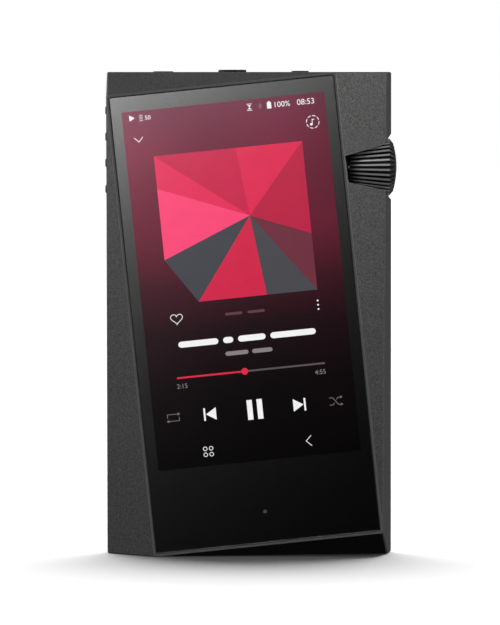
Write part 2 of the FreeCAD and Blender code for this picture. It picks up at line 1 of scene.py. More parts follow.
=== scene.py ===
import json
import math
import bmesh
import bpy
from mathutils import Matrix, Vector


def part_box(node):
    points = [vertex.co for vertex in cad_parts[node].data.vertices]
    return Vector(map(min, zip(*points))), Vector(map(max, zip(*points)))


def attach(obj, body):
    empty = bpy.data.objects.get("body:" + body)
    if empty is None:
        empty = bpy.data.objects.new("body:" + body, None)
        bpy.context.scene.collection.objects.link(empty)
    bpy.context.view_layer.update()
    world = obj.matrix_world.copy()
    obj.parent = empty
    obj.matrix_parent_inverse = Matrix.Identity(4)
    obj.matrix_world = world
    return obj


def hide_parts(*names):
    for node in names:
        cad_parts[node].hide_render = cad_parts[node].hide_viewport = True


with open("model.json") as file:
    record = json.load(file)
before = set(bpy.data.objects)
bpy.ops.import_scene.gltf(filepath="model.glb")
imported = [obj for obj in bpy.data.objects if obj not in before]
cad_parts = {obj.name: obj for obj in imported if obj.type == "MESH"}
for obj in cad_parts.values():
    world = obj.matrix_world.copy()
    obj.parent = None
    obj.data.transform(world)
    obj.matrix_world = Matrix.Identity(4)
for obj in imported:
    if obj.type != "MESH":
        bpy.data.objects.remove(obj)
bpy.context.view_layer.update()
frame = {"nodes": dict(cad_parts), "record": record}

mm = 0.001
scene = bpy.context.scene
nodes = frame["nodes"]
slotOf = {part["node"]: part["material_slot"] for part in frame["record"]["subparts"]}
print("frame loaded:", len(nodes), "nodes")


camera = {"distance": 1.5, "height": 0.108, "aimHeight": 0.0543, "aimSide": -0.00022, "lens": 385.6,
          "sensor": 36, "nearest": 0.05, "farthest": 60}


def makeCamera(values):
    data = bpy.data.cameras.new("portraitCamera")
    data.lens = values["lens"]
    data.sensor_width = values["sensor"]
    data.clip_start = values["nearest"]
    data.clip_end = values["farthest"]
    obj = bpy.data.objects.new("portraitCamera", data)
    scene.collection.objects.link(obj)
    obj.location = (values["aimSide"], -values["distance"], values["height"])
    aim = Vector((values["aimSide"], 0, values["aimHeight"]))
    obj.rotation_euler = (aim - obj.location).to_track_quat("-Z", "Y").to_euler()
    scene.camera = obj


def srgb(red, green, blue):
    # display colour 0 to 255, turned into a linear shader colour
    def linear(value):
        value /= 255
        return value / 12.92 if value <= 0.04045 else ((value + 0.055) / 1.055) ** 2.4
    return (linear(red), linear(green), linear(blue), 1)


def newMaterial(name):
    material = bpy.data.materials.new(name)
    material.use_nodes = True
    tree = material.node_tree
    return material, tree, tree.nodes["Principled BSDF"]


def addNode(tree, kind, **settings):
    node = tree.nodes.new(kind)
    for key, value in settings.items():
        setattr(node, key, value)
    return node


def mathNode(tree, operation, first, second=None, clamp=False):
    node = addNode(tree, "ShaderNodeMath", operation=operation, use_clamp=clamp)
    for socket, value in zip(node.inputs, (first, second)):
        if value is None:
            continue
        if isinstance(value, (int, float)):
            socket.default_value = value
        else:
            tree.links.new(value, socket)
    return node.outputs[0]


def vectorNode(tree, operation, first, second=None):
    node = addNode(tree, "ShaderNodeVectorMath", operation=operation)
    for socket, value in zip(node.inputs, (first, second)):
        if value is None:
            continue
        if isinstance(value, (tuple, Vector)):
            socket.default_value = value
        else:
            tree.links.new(value, socket)
    return node.outputs["Value" if operation in ("DOT_PRODUCT", "LENGTH") else "Vector"]


def scaleNode(tree, colour, factor):
    node = addNode(tree, "ShaderNodeVectorMath", operation="SCALE")
    tree.links.new(colour, node.inputs[0])
    tree.links.new(factor, node.inputs["Scale"])
    return node.outputs[0]


def mixColour(tree, factor, first, second):
    node = addNode(tree, "ShaderNodeMix", data_type="RGBA", blend_type="MIX")
    colourInputs = [socket for socket in node.inputs if socket.type == "RGBA"]
    for socket, value in zip([node.inputs[0]] + colourInputs, (factor, first, second)):
        if isinstance(value, (int, float, tuple)):
            socket.default_value = value
        else:
            tree.links.new(value, socket)
    return [socket for socket in node.outputs if socket.type == "RGBA"][0]


def rampNode(tree, factor, stops):
    node = addNode(tree, "ShaderNodeValToRGB")
    ramp = node.color_ramp
    while len(ramp.elements) < len(stops):
        ramp.elements.new(0.5)
    for element, (place, colour) in zip(ramp.elements, stops):
        element.position = place
        element.color = colour
    tree.links.new(factor, node.inputs[0])
    return node.outputs[0]


def rangeNode(tree, value, low, high, outLow=0.0, outHigh=1.0, smooth=False):
    node = addNode(tree, "ShaderNodeMapRange")
    if smooth:
        node.interpolation_type = "SMOOTHSTEP"
    tree.links.new(value, node.inputs["Value"])
    for name, number in (("From Min", low), ("From Max", high), ("To Min", outLow), ("To Max", outHigh)):
        node.inputs[name].default_value = number
    return node.outputs[0]


makeCamera(camera)

studio = {
    "worldGrey": 0.12,
    "groundGrey": 0.004,
    "groundFade": (-0.72, -0.42),  # dark only steeply below
    "rearGrey": 0.12,  # pale walls to the rear sides, set by the slope of the ray
    "rearHeight": (0.35, 0.62),
    "rearBehind": (0.25, 0.65),
    "rearAside": (0.48, 0.68),
    "floorSize": 12.0,
    "floorWhite": 0.86,
    "sunPower": 4.75,
    "sunSpread": 54,
    "sunTilt": 32,
    "lampAim": (0, 0, 0.054),
}
softboxes = {
    "leftBox": {"at": (-0.5, 0.0, 0.20), "size": (0.22, 0.3), "power": 0.45},
    "rightBox": {"at": (0.36, -0.2, 0.27), "size": (0.18, 0.24), "power": 0.38},
    "edgeBox": {"at": (0.55, 0.26, 0.24), "size": (0.12, 0.6), "power": 0.24},
    "topBox": {"at": (0.0, 0.55, 0.80), "size": (0.9, 0.5), "power": 0.52},
    "frontBox": {"at": (-0.55, -0.95, 0.60), "size": (0.3, 0.3), "power": 0.9},
    "rearBox": {"at": (-0.5, 1.1, 0.45), "size": (0.7, 0.7), "power": 2.6},
}


def makeWorld():
    world = bpy.data.worlds.new("studioWorld")
    scene.world = world
    world.use_nodes = True
    tree = world.node_tree
    background = tree.nodes["Background"]
    path = addNode(tree, "ShaderNodeLightPath")
    parts = addNode(tree, "ShaderNodeSeparateXYZ")
    tree.links.new(addNode(tree, "ShaderNodeTexCoord").outputs["Generated"], parts.inputs[0])
    low = rangeNode(tree, parts.outputs[2], *studio["groundFade"], studio["groundGrey"], studio["worldGrey"])
    slope = mathNode(tree, "ABSOLUTE", parts.outputs[2])
    level = rangeNode(tree, slope, *studio["rearHeight"], studio["rearGrey"], 0)
    behind = rangeNode(tree, parts.outputs[1], *studio["rearBehind"])
    aside = rangeNode(tree, mathNode(tree, "ABSOLUTE", parts.outputs[0]), *studio["rearAside"])
    glow = mathNode(tree, "MULTIPLY", mathNode(tree, "MULTIPLY", level, behind), aside)
    seen = mathNode(tree, "MAXIMUM", mathNode(tree, "ADD", low, glow), path.outputs["Is Camera Ray"])
    tree.links.new(seen, background.inputs["Strength"])
    background.inputs["Color"].default_value = (1, 1, 1, 1)


def makeFloor():
    half = studio["floorSize"] / 2
    mesh = bpy.data.meshes.new("studioFloor")
    mesh.from_pydata([(-half, -half, 0), (half, -half, 0), (half, half, 0), (-half, half, 0)],
                     [], [(0, 1, 2, 3)])
    floor = bpy.data.objects.new("studioFloor", mesh)
    scene.collection.objects.link(floor)
    material, _, shader = newMaterial("paleFloor")
    shader.inputs["Base Color"].default_value = (studio["floorWhite"],) * 3 + (1,)
    shader.inputs["Roughness"].default_value = 1.0
    shader.inputs["Specular IOR Level"].default_value = 0.0
    mesh.materials.append(material)
    floor.visible_diffuse = False
    floor.visible_glossy = False
    floor.visible_transmission = False
    return floor


def linkLight(light, receivers):
    group = bpy.data.collections.new(light.name + "Receivers")
    for obj in receivers:
        group.objects.link(obj)
    light.light_linking.receiver_collection = group


def makeSun(floor):
    data = bpy.data.lights.new("skylight", "SUN")
    data.energy = studio["sunPower"]
    data.angle = math.radians(studio["sunSpread"])
    sun = bpy.data.objects.new("skylight", data)
    scene.collection.objects.link(sun)
    sun.rotation_euler = (math.radians(-studio["sunTilt"]), 0, 0)
    linkLight(sun, [floor])


def makeSoftboxes(receivers):
    for name, values in softboxes.items():
        data = bpy.data.lights.new(name, "AREA")
        data.shape = "RECTANGLE"
        data.size, data.size_y = values["size"]
        data.energy = values["power"]
        light = bpy.data.objects.new(name, data)
        scene.collection.objects.link(light)
        light.location = values["at"]
        aim = Vector(studio["lampAim"]) - light.location
        light.rotation_euler = aim.to_track_quat("-Z", "Y").to_euler()
        light.visible_camera = False
        light.visible_transmission = False  # else a glass edge shows the lamp as a white thread
        linkLight(light, receivers)


frontCard = {"y": -1.62, "half": (0.17, 0.28), "strength": 0.088, "fadeRight": -13.8, "fadeUp": 18.3,
             "limit": 1.5}


def makeFrontCard():
    # a dim board in front, brighter at the upper left, which the flat glass mirrors
    halfX, halfZ = frontCard["half"]
    y = frontCard["y"]
    mesh = bpy.data.meshes.new("frontCard")
    mesh.from_pydata([(-halfX, y, -halfZ), (halfX, y, -halfZ), (halfX, y, halfZ), (-halfX, y, halfZ)],
                     [], [(0, 1, 2, 3)])
    card = bpy.data.objects.new("frontCard", mesh)
    scene.collection.objects.link(card)
    material, tree, shader = newMaterial("fadingCard")
    shader.inputs["Base Color"].default_value = (0, 0, 0, 1)
    shader.inputs["Roughness"].default_value = 1.0
    place = addNode(tree, "ShaderNodeTexCoord").outputs["Object"]
    along = vectorNode(tree, "DOT_PRODUCT", place, (frontCard["fadeRight"], 0.0, frontCard["fadeUp"]))
    glow = mathNode(tree, "MULTIPLY", mathNode(tree, "EXPONENT", along), frontCard["strength"])
    strength = mathNode(tree, "MINIMUM", glow, frontCard["limit"])
    shader.inputs["Emission Color"].default_value = (1, 1, 1, 1)
    tree.links.new(strength, shader.inputs["Emission Strength"])
    mesh.materials.append(material)
    card.visible_camera = False
    card.visible_diffuse = False
    card.visible_shadow = False


makeWorld()
makeSun(makeFloor())
makeFrontCard()
scene.view_settings.view_transform = "Standard"
scene.view_settings.look = "None"
print("camera, floor and light are set")


def newGroup(name, inputs, outputs):
    group = bpy.data.node_groups.new(name, "ShaderNodeTree")
    for label, kind, default in inputs:
        socket = group.interface.new_socket(label, in_out="INPUT", socket_type=kind)
        socket.default_value = default
    for label, kind in outputs:
        group.interface.new_socket(label, in_out="OUTPUT", socket_type=kind)
    source = group.nodes.new("NodeGroupInput")
    result = group.nodes.new("NodeGroupOutput")
    return group, source, result


grainShape = {"fineDetail": 2, "slowScale": 90, "slowDetail": 3, "contrast": 4}


def makeGrainGroup():
    # fine blasted grain, with a slow drift in tone
    group, source, result = newGroup(
        "blastedGrain",
        (("Colour", "NodeSocketColor", (0.1, 0.1, 0.1, 1)), ("Scale", "NodeSocketFloat", 4000.0),
         ("Tone", "NodeSocketFloat", 0.2), ("Roughness", "NodeSocketFloat", 0.4),
         ("Drift", "NodeSocketFloat", 0.04)),
        (("Colour", "NodeSocketColor"), ("Height", "NodeSocketFloat"), ("Roughness", "NodeSocketFloat")))
    place = addNode(group, "ShaderNodeTexCoord").outputs["Object"]
    fine = addNode(group, "ShaderNodeTexNoise")
    fine.inputs["Detail"].default_value = grainShape["fineDetail"]
    slow = addNode(group, "ShaderNodeTexNoise")
    slow.inputs["Scale"].default_value = grainShape["slowScale"]
    slow.inputs["Detail"].default_value = grainShape["slowDetail"]
    group.links.new(place, fine.inputs["Vector"])
    group.links.new(place, slow.inputs["Vector"])
    group.links.new(source.outputs["Scale"], fine.inputs["Scale"])
    fineSwing = mathNode(group, "SUBTRACT", fine.outputs[0], 0.5)
    speck = mathNode(group, "MULTIPLY", fineSwing, source.outputs["Tone"])
    gain = mathNode(group, "ADD", mathNode(group, "MULTIPLY", speck, grainShape["contrast"]), 1)
    slowSwing = mathNode(group, "SUBTRACT", slow.outputs[0], 0.5)
    drift = mathNode(group, "MULTIPLY", slowSwing, source.outputs["Drift"])
    rough = mathNode(group, "ADD", source.outputs["Roughness"], drift, clamp=True)
    group.links.new(scaleNode(group, source.outputs["Colour"], gain), result.inputs["Colour"])
    group.links.new(fine.outputs[0], result.inputs["Height"])
    group.links.new(rough, result.inputs["Roughness"])
    return group


edgeBend = {"flat": 0.995, "bent": 0.9, "samples": 4}  # likeness of the rounded and the plain normal


def makeEdgeGroup():
    # 1 along the edges, 0 on the flats; the lighter edge colour it drives is partly wear and partly painted
    # highlight
    group, source, result = newGroup(
        "edgeWearAndHighlight",
        (("Width", "NodeSocketFloat", 0.0002), ("Strength", "NodeSocketFloat", 1.0)),
        (("Mask", "NodeSocketFloat"),))
    rounded = addNode(group, "ShaderNodeBevel", samples=edgeBend["samples"])
    group.links.new(source.outputs["Width"], rounded.inputs["Radius"])
    flat = addNode(group, "ShaderNodeNewGeometry").outputs["Normal"]
    likeness = vectorNode(group, "DOT_PRODUCT", rounded.outputs[0], flat)
    bend = rangeNode(group, likeness, edgeBend["flat"], edgeBend["bent"])
    mask = mathNode(group, "MULTIPLY", bend, source.outputs["Strength"], clamp=True)
    group.links.new(mask, result.inputs["Mask"])
    return group


grainGroup = makeGrainGroup()
edgeGroup = makeEdgeGroup()


def placeGroup(tree, group, **values):
    node = addNode(tree, "ShaderNodeGroup", node_tree=group)
    for name, value in values.items():
        node.inputs[name].default_value = value
    return node


# colour, metallic, roughness, grain scale, tone of the grain, bump, edge brightening (partly wear, partly
# painted highlight)
finishes = {
    "anodised_housing": ((0.165, 0.164, 0.163, 1), 1.0, 0.47, 3200, 0.50, 0.12, 0.8),
    "adhesive": ((0.015, 0.015, 0.015, 1), 0.0, 0.7, 3000, 0.2, 0.05, 0.0),
    "display_tray": ((0.45, 0.45, 0.46, 1), 1.0, 0.35, 1500, 0.1, 0.03, 0.3),
    "flex": ((0.35, 0.16, 0.03, 1), 0.0, 0.4, 1200, 0.15, 0.02, 0.1),
    "plate_steel": ((0.5, 0.5, 0.5, 1), 1.0, 0.32, 2500, 0.1, 0.04, 0.4),
    "screw_steel": ((0.55, 0.55, 0.56, 1), 1.0, 0.25, 5000, 0.1, 0.03, 0.5),
    "circuit_board": ((0.01, 0.07, 0.03, 1), 0.0, 0.35, 700, 0.3, 0.06, 0.2),
    "connector_plastic": ((0.06, 0.06, 0.06, 1), 0.0, 0.5, 3000, 0.15, 0.04, 0.2),
    "shield_tin": ((0.6, 0.6, 0.58, 1), 1.0, 0.3, 1800, 0.12, 0.04, 0.4),
    "chip_black": ((0.02, 0.02, 0.02, 1), 0.0, 0.55, 4000, 0.2, 0.05, 0.1),
    "crystal_metal": ((0.62, 0.6, 0.55, 1), 1.0, 0.25, 3000, 0.08, 0.02, 0.4),
    "battery_pouch": ((0.3, 0.3, 0.32, 1), 1.0, 0.4, 500, 0.15, 0.12, 0.3),
    "socket_steel": ((0.05, 0.05, 0.052, 1), 1.0, 0.3, 4000, 0.1, 0.03, 0.5),
    "slider_plastic": ((0.05, 0.05, 0.055, 1), 0.0, 0.45, 3000, 0.15, 0.03, 0.2),
    "wheel_cap_metal": ((0.022, 0.022, 0.022, 1), 1.0, 0.32, 4200, 0.12, 0.03, 0.3),
    "shaft_steel": ((0.5, 0.5, 0.5, 1), 1.0, 0.2, 5000, 0.05, 0.01, 0.4),
    "bushing_brass": ((0.62, 0.44, 0.16, 1), 1.0, 0.3, 4000, 0.1, 0.02, 0.4),
    "encoder_case": ((0.08, 0.08, 0.08, 1), 0.0, 0.5, 3000, 0.15, 0.03, 0.2),
    "collar_metal": ((0.045, 0.045, 0.046, 1), 1.0, 0.33, 4200, 0.12, 0.03, 0.6),
    "contact_brass": ((0.75, 0.56, 0.2, 1), 1.0, 0.25, 4000, 0.08, 0.02, 0.3),
    "button_metal": ((0.012, 0.012, 0.012, 1), 1.0, 0.4, 4200, 0.15, 0.04, 0.5),
}


# the lighter rim colour is a painted highlight for light caught at the bezel edge around the glass
rimHighlight = {"behind": 8.0 * mm, "colour": (0.33, 0.33, 0.33, 1), "roughness": 0.42}
wornEdgeAndHighlight = {"width": 0.22 * mm, "gain": 2.1, "lift": 0.02}
surface = {"drift": 0.08, "bumpDepth": 0.05 * mm}


def metalFinish(name, values):
    colour, metallic, roughness, scale, tone, bump, edge = values
    material, tree, shader = newMaterial(name + "_finish")
    grain = placeGroup(tree, grainGroup, Colour=colour, Scale=scale, Tone=tone, Roughness=roughness,
                       Drift=surface["drift"])
    shader.inputs["Metallic"].default_value = metallic
    wearAndHighlight = placeGroup(tree, edgeGroup, Width=wornEdgeAndHighlight["width"], Strength=edge)
    # lighter colour along the edges: partly wear, partly painted highlight where edges catch light
    wornAndHighlit = tuple(min(1, part * wornEdgeAndHighlight["gain"] + wornEdgeAndHighlight["lift"]) for part in colour[:3]) + (1,)
    mixed = mixColour(tree, wearAndHighlight.outputs["Mask"], grain.outputs["Colour"], wornAndHighlit)
    rough = grain.outputs["Roughness"]
    if name == "anodised_housing":  # painted highlight: the flat rim around the glass gets a lighter colour, and is slightly smoother, for the light caught at the bezel edge
        parts = addNode(tree, "ShaderNodeSeparateXYZ")
        tree.links.new(addNode(tree, "ShaderNodeTexCoord").outputs["Object"], parts.inputs[0])
        rim = mathNode(tree, "LESS_THAN", parts.outputs[1], -rimHighlight["behind"])
        mixed = mixColour(tree, rim, mixed, rimHighlight["colour"])
        flatness = mathNode(tree, "MULTIPLY", rim, rimHighlight["roughness"] - roughness)
        rough = mathNode(tree, "ADD", rough, flatness, clamp=True)
    tree.links.new(mixed, shader.inputs["Base Color"])
    tree.links.new(rough, shader.inputs["Roughness"])
    relief = addNode(tree, "ShaderNodeBump")
    relief.inputs["Strength"].default_value = bump
    relief.inputs["Distance"].default_value = surface["bumpDepth"]
    tree.links.new(grain.outputs["Height"], relief.inputs["Height"])
    tree.links.new(relief.outputs[0], shader.inputs["Normal"])
    return material


def clearGlass():
    material, _, shader = newMaterial("front_glass_finish")
    shader.inputs["Base Color"].default_value = (1, 1, 1, 1)
    shader.inputs["Transmission Weight"].default_value = 1.0
    shader.inputs["IOR"].default_value = 1.5
    shader.inputs["Roughness"].default_value = 0.0
    return material


# the near-black band colour is painted shade for the dark gap between the glass and the bezel
maskLook = {"ink": (0.185, 0.185, 0.185, 1), "line": (0.002, 0.002, 0.002, 1),
            "lineStart": 0.16 * mm, "lineFull": 0.08 * mm}  # measured in from the glass edge


def maskInk():
    # glossy grey ink, with a near-black band along the glass edge that is painted shade for the gap between
    # glass and bezel
    material, tree, shader = newMaterial("black_mask_finish")
    grain = placeGroup(tree, grainGroup, Colour=maskLook["ink"], Scale=3000.0, Tone=0.02,
                       Roughness=0.07, Drift=0.01)
    place = addNode(tree, "ShaderNodeTexCoord").outputs["Object"]
    local = vectorNode(tree, "SUBTRACT", place, glassMiddle)
    sides = mathNode(tree, "ABSOLUTE", vectorNode(tree, "DOT_PRODUCT", local, rightward))
    ends = mathNode(tree, "ABSOLUTE", vectorNode(tree, "DOT_PRODUCT", local, downward))
    sideEdge, endEdge = [
        rangeNode(tree, reach, half - maskLook["lineStart"], half - maskLook["lineFull"])
        for reach, half in zip((sides, ends), glassHalf)]
    edge = mathNode(tree, "MAXIMUM", sideEdge, endEdge)
    shader.inputs["Metallic"].default_value = 1.0
    colour = mixColour(tree, edge, grain.outputs["Colour"], maskLook["line"])
    tree.links.new(colour, shader.inputs["Base Color"])
    tree.links.new(grain.outputs["Roughness"], shader.inputs["Roughness"])
    return material


wheelLow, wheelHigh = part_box("volume_wheel")
# the white ridge-top colour is a painted highlight and the near-black groove colour is painted shade
wheel = {"axisY": (wheelLow.y + wheelHigh.y) / 2, "axisZ": (wheelLow.z + wheelHigh.z) / 2,
         "smallEnd": wheelLow.x, "length": 8.9 * mm, "bevel": 0.9 * mm,
         "radii": (4.8 * mm, 6.42 * mm, 5.3 * mm), "ridge": 0.42 * mm, "ridges": 34, "phase": math.pi,
         "crestFrom": -0.05, "crestFull": 0.5, "crestHighlight": (1.0, 1.0, 1.0, 1),
         "grooveShade": (0.008, 0.008, 0.008, 1),
         "crestDepths": (-0.75, -0.12), "smallEndShadeFrom": 0.4 * mm, "smallEndShadeEnd": 2.6 * mm, "smallEndShadeLeast": 0.12,
         "bevelShadeLeast": 0.10, "bevelSoft": 0.1 * mm, "roughness": 0.42, "metallic": 0.5}


def wheelMetal():
    # satin metal with a painted highlight on the ridge tops over painted shade in the grooves; the highlight
    # fades to painted shade near the small end and on the bevel
    material, tree, shader = newMaterial("wheel_metal_finish")
    place = addNode(tree, "ShaderNodeTexCoord").outputs["Object"]
    parts = addNode(tree, "ShaderNodeSeparateXYZ")
    tree.links.new(place, parts.inputs[0])
    across = mathNode(tree, "SUBTRACT", parts.outputs[1], wheel["axisY"])
    up = mathNode(tree, "SUBTRACT", parts.outputs[2], wheel["axisZ"])
    squares = mathNode(tree, "ADD", mathNode(tree, "POWER", across, 2),
                       mathNode(tree, "MULTIPLY", up, up))
    radius = mathNode(tree, "SQRT", squares)
    widest = wheel["smallEnd"] + wheel["length"]
    small, large, end = wheel["radii"]
    cone = rangeNode(tree, parts.outputs[0], wheel["smallEnd"], widest, small, large)
    bevel = rangeNode(tree, parts.outputs[0], widest, widest + wheel["bevel"], large, end)
    skin = mathNode(tree, "MINIMUM", cone, bevel)
    depth = mathNode(tree, "SUBTRACT", radius, skin)
    deep, shallow = (share * wheel["ridge"] for share in wheel["crestDepths"])
    top = rangeNode(tree, depth, deep, shallow, smooth=True)
    turn = mathNode(tree, "MULTIPLY", mathNode(tree, "ARCTAN2", up, across), wheel["ridges"])
    crestHighlight = mathNode(tree, "COSINE", mathNode(tree, "ADD", turn, wheel["phase"]))
    narrow = rangeNode(tree, crestHighlight, wheel["crestFrom"], wheel["crestFull"], smooth=True)
    # painted shade: the ridge highlight dims near the small end and on the bevel
    smallEndShade = rangeNode(tree, parts.outputs[0], wheel["smallEnd"] + wheel["smallEndShadeFrom"],
                      wheel["smallEnd"] + wheel["smallEndShadeEnd"], wheel["smallEndShadeLeast"], 1)
    bevelShade = rangeNode(tree, parts.outputs[0], widest - wheel["bevelSoft"], widest + wheel["bevelSoft"],
                        1, wheel["bevelShadeLeast"])
    light = mathNode(tree, "MULTIPLY", mathNode(tree, "MULTIPLY", top, narrow),
                     mathNode(tree, "MULTIPLY", smallEndShade, bevelShade))
    grain = placeGroup(tree, grainGroup, Colour=wheel["crestHighlight"], Scale=4200.0, Tone=0.10,
                       Roughness=wheel["roughness"], Drift=0.06)
    colour = mixColour(tree, light, wheel["grooveShade"], grain.outputs["Colour"])
    tree.links.new(colour, shader.inputs["Base Color"])
    tree.links.new(grain.outputs["Roughness"], shader.inputs["Roughness"])
    shader.inputs["Metallic"].default_value = wheel["metallic"]
    return material


backPattern = {"angles": (31, -31), "pitch": 1.35 * mm, "dark": (0.012, 0.012, 0.014, 1),
               "pale": (0.050, 0.050, 0.056, 1), "soft": 0.2, "roughness": (0.14, 0.24)}


def backPanel():
    # dark glossy sheet over two crossed sets of fine slanting bands
    material, tree, shader = newMaterial("back_panel_finish")
    place = addNode(tree, "ShaderNodeTexCoord").outputs["Object"]
    bands = []
    wave = 2 * math.pi / backPattern["pitch"]
    for slant in backPattern["angles"]:
        turn = math.radians(slant)
        along = vectorNode(tree, "DOT_PRODUCT", place, (math.cos(turn) * wave, 0.0, math.sin(turn) * wave))
        bands.append(rangeNode(tree, mathNode(tree, "SINE", along), -backPattern["soft"], backPattern["soft"],
                               smooth=True))
    checks = mathNode(tree, "ABSOLUTE", mathNode(tree, "SUBTRACT", bands[0], bands[1]))
    grain = placeGroup(tree, grainGroup, Colour=backPattern["pale"], Scale=2500.0, Tone=0.10)
    colour = mixColour(tree, checks, backPattern["dark"], grain.outputs["Colour"])
    tree.links.new(colour, shader.inputs["Base Color"])
    tree.links.new(rangeNode(tree, checks, 0, 1, *backPattern["roughness"]), shader.inputs["Roughness"])
    return material


def lightRing():
    material, tree, shader = newMaterial("light_ring_finish")
    grain = placeGroup(tree, grainGroup, Colour=(0.02, 0.02, 0.021, 1), Scale=2500.0, Tone=0.1,
                       Roughness=0.4, Drift=0.05)
    tree.links.new(grain.outputs["Colour"], shader.inputs["Base Color"])
    tree.links.new(grain.outputs["Roughness"], shader.inputs["Roughness"])
    return material


twist = math.radians(5.9)
screenLow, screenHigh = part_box("display_panel")
screenMiddle = (screenLow + screenHigh) / 2
screenFront = screenLow.y
glassLow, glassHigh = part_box("front_glass")
glassMiddle = (glassLow + glassHigh) / 2
rightward = Vector((math.cos(twist), 0, math.sin(twist)))
downward = Vector((math.sin(twist), 0, -math.cos(twist)))
glassHalf = [max((vert.co - glassMiddle).dot(along) for vert in nodes["front_glass"].data.vertices)
             for along in (rightward, downward)]


picture = {
    "stops": ((0.0, srgb(112, 40, 66)), (0.12, srgb(118, 34, 60)), (0.34, srgb(106, 27, 50)),
              (0.50, srgb(60, 17, 30)), (0.62, srgb(32, 11, 19)), (0.78, srgb(12, 6, 9)),
              (1.0, srgb(4, 3, 4))),
    "halfHigh": 40 * mm, "halfWide": 22.4 * mm, "leftGain": 1.02, "rightGain": 0.72,
    "cloudScale": 34, "cloudRange": (0.3, 0.7), "cloudGain": (0.78, 1.2), "brightness": 1.08,
}


def screenPicture():
    # deep red glow that fades to black down the picture, with soft lighter patches
    material, tree, shader = newMaterial("display_picture")
    place = addNode(tree, "ShaderNodeTexCoord").outputs["Object"]
    local = vectorNode(tree, "SUBTRACT", place, screenMiddle)
    u = vectorNode(tree, "DOT_PRODUCT", local, rightward)
    v = vectorNode(tree, "DOT_PRODUCT", local, downward)
    glow = rampNode(tree, rangeNode(tree, v, -picture["halfHigh"], picture["halfHigh"]), picture["stops"])
    cloud = addNode(tree, "ShaderNodeTexNoise")
    cloud.inputs["Scale"].default_value = picture["cloudScale"]
    cloud.inputs["Detail"].default_value = 0
    tree.links.new(place, cloud.inputs["Vector"])
    soft = rangeNode(tree, cloud.outputs[0], *picture["cloudRange"], *picture["cloudGain"])
    side = rangeNode(tree, u, -picture["halfWide"], picture["halfWide"],
                     picture["leftGain"], picture["rightGain"])
    spread = scaleNode(tree, glow, mathNode(tree, "MULTIPLY", soft, side))
    shader.inputs["Base Color"].default_value = (0.002, 0.002, 0.002, 1)
    shader.inputs["Roughness"].default_value = 0.5
    shader.inputs["Specular IOR Level"].default_value = 0.0
    tree.links.new(spread, shader.inputs["Emission Color"])
    shader.inputs["Emission Strength"].default_value = picture["brightness"]
    return material


inkCells = {"scale": 300, "deeper": 0.86}


def litInk(name, colour):
    material, tree, shader = newMaterial(name)
    place = addNode(tree, "ShaderNodeTexCoord").outputs["Object"]
    cells = addNode(tree, "ShaderNodeTexNoise")
    cells.inputs["Scale"].default_value = inkCells["scale"]
    tree.links.new(place, cells.inputs["Vector"])
    deeper = tuple(part * inkCells["deeper"] for part in colour[:3]) + (1,)
    tree.links.new(mixColour(tree, cells.outputs[0], deeper, colour), shader.inputs["Emission Color"])
    shader.inputs["Base Color"].default_value = (0, 0, 0, 1)
    shader.inputs["Specular IOR Level"].default_value = 0.0
    shader.inputs["Emission Strength"].default_value = picture["brightness"]
    return material


inks = {
    "white": litInk("inkWhite", srgb(250, 250, 250)),
    "grey": litInk("inkGrey", srgb(138, 130, 134)),
    "faint": litInk("inkFaint", srgb(118, 112, 114)),
    "dim": litInk("inkDim", srgb(100, 62, 74)),
    "track": litInk("inkTrack", srgb(92, 84, 88)),
    "red": litInk("inkRed", srgb(228, 44, 72)),
}


def special(slot):
    makers = {"back_panel": backPanel, "front_glass": clearGlass, "black_mask": maskInk,
              "wheel_metal": wheelMetal, "light_ring": lightRing, "display": screenPicture}
    return makers[slot]()


def dressNodes():
    made = {}
    for name, obj in nodes.items():
        slot = slotOf[name]
        if slot not in made:
            made[slot] = metalFinish(slot, finishes[slot]) if slot in finishes else special(slot)
        if not obj.material_slots:
            obj.data.materials.append(made[slot])
        for place in obj.material_slots:
            place.material = made[slot]
    print("finishes:", len(made))


dressNodes()

weldGap = 1e-7
glass = {"clear": 0.03 * mm, "inset": 0.07 * mm, "cornerRadius": 0.5 * mm, "cornerSteps": 6,
         "polish": 0.03 * mm}


def coverGlass():
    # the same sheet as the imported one, with a polished edge and a hair of air before the ink
    halfWide, halfHigh = (size - glass["inset"] for size in glassHalf)
    radius = glass["cornerRadius"]
    outline = []
    for turn, (sideX, sideZ) in enumerate(((1, 1), (-1, 1), (-1, -1), (1, -1))):
        for step in range(glass["cornerSteps"] + 1):
            angle = math.pi / 2 * (turn + step / glass["cornerSteps"])
            outline.append((sideX * (halfWide - radius) + radius * math.cos(angle),
                            sideZ * (halfHigh - radius) + radius * math.sin(angle)))
    shape = bmesh.new()
    corners = []
    for u, v in outline:
        spot = glassMiddle + rightward * u + downward * v
        corners.append(shape.verts.new((spot.x, glassLow.y, spot.z)))
    front = shape.faces.new(corners)
    grown = bmesh.ops.extrude_face_region(shape, geom=[front])
    moved = [item for item in grown["geom"] if isinstance(item, bmesh.types.BMVert)]
    depth = glassHigh.y - glassLow.y - glass["clear"]
    bmesh.ops.translate(shape, verts=moved, vec=(0, depth, 0))
    bmesh.ops.recalc_face_normals(shape, faces=list(shape.faces))
    rim = [edge for edge in shape.edges if all(abs(vert.co.y - glassLow.y) < weldGap for vert in edge.verts)]
    bmesh.ops.bevel(shape, geom=rim, offset=glass["polish"], segments=2, affect="EDGES", profile=0.5)
    mesh = bpy.data.meshes.new("coverGlass")
    shape.to_mesh(mesh)
    shape.free()
    mesh.materials.append(nodes["front_glass"].material_slots[0].material)
    sheet = bpy.data.objects.new("coverGlass", mesh)
    scene.collection.objects.link(sheet)
    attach(sheet, "housing")
    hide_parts("front_glass")
    return sheet


makeSoftboxes(list(nodes.values()) + [coverGlass()])


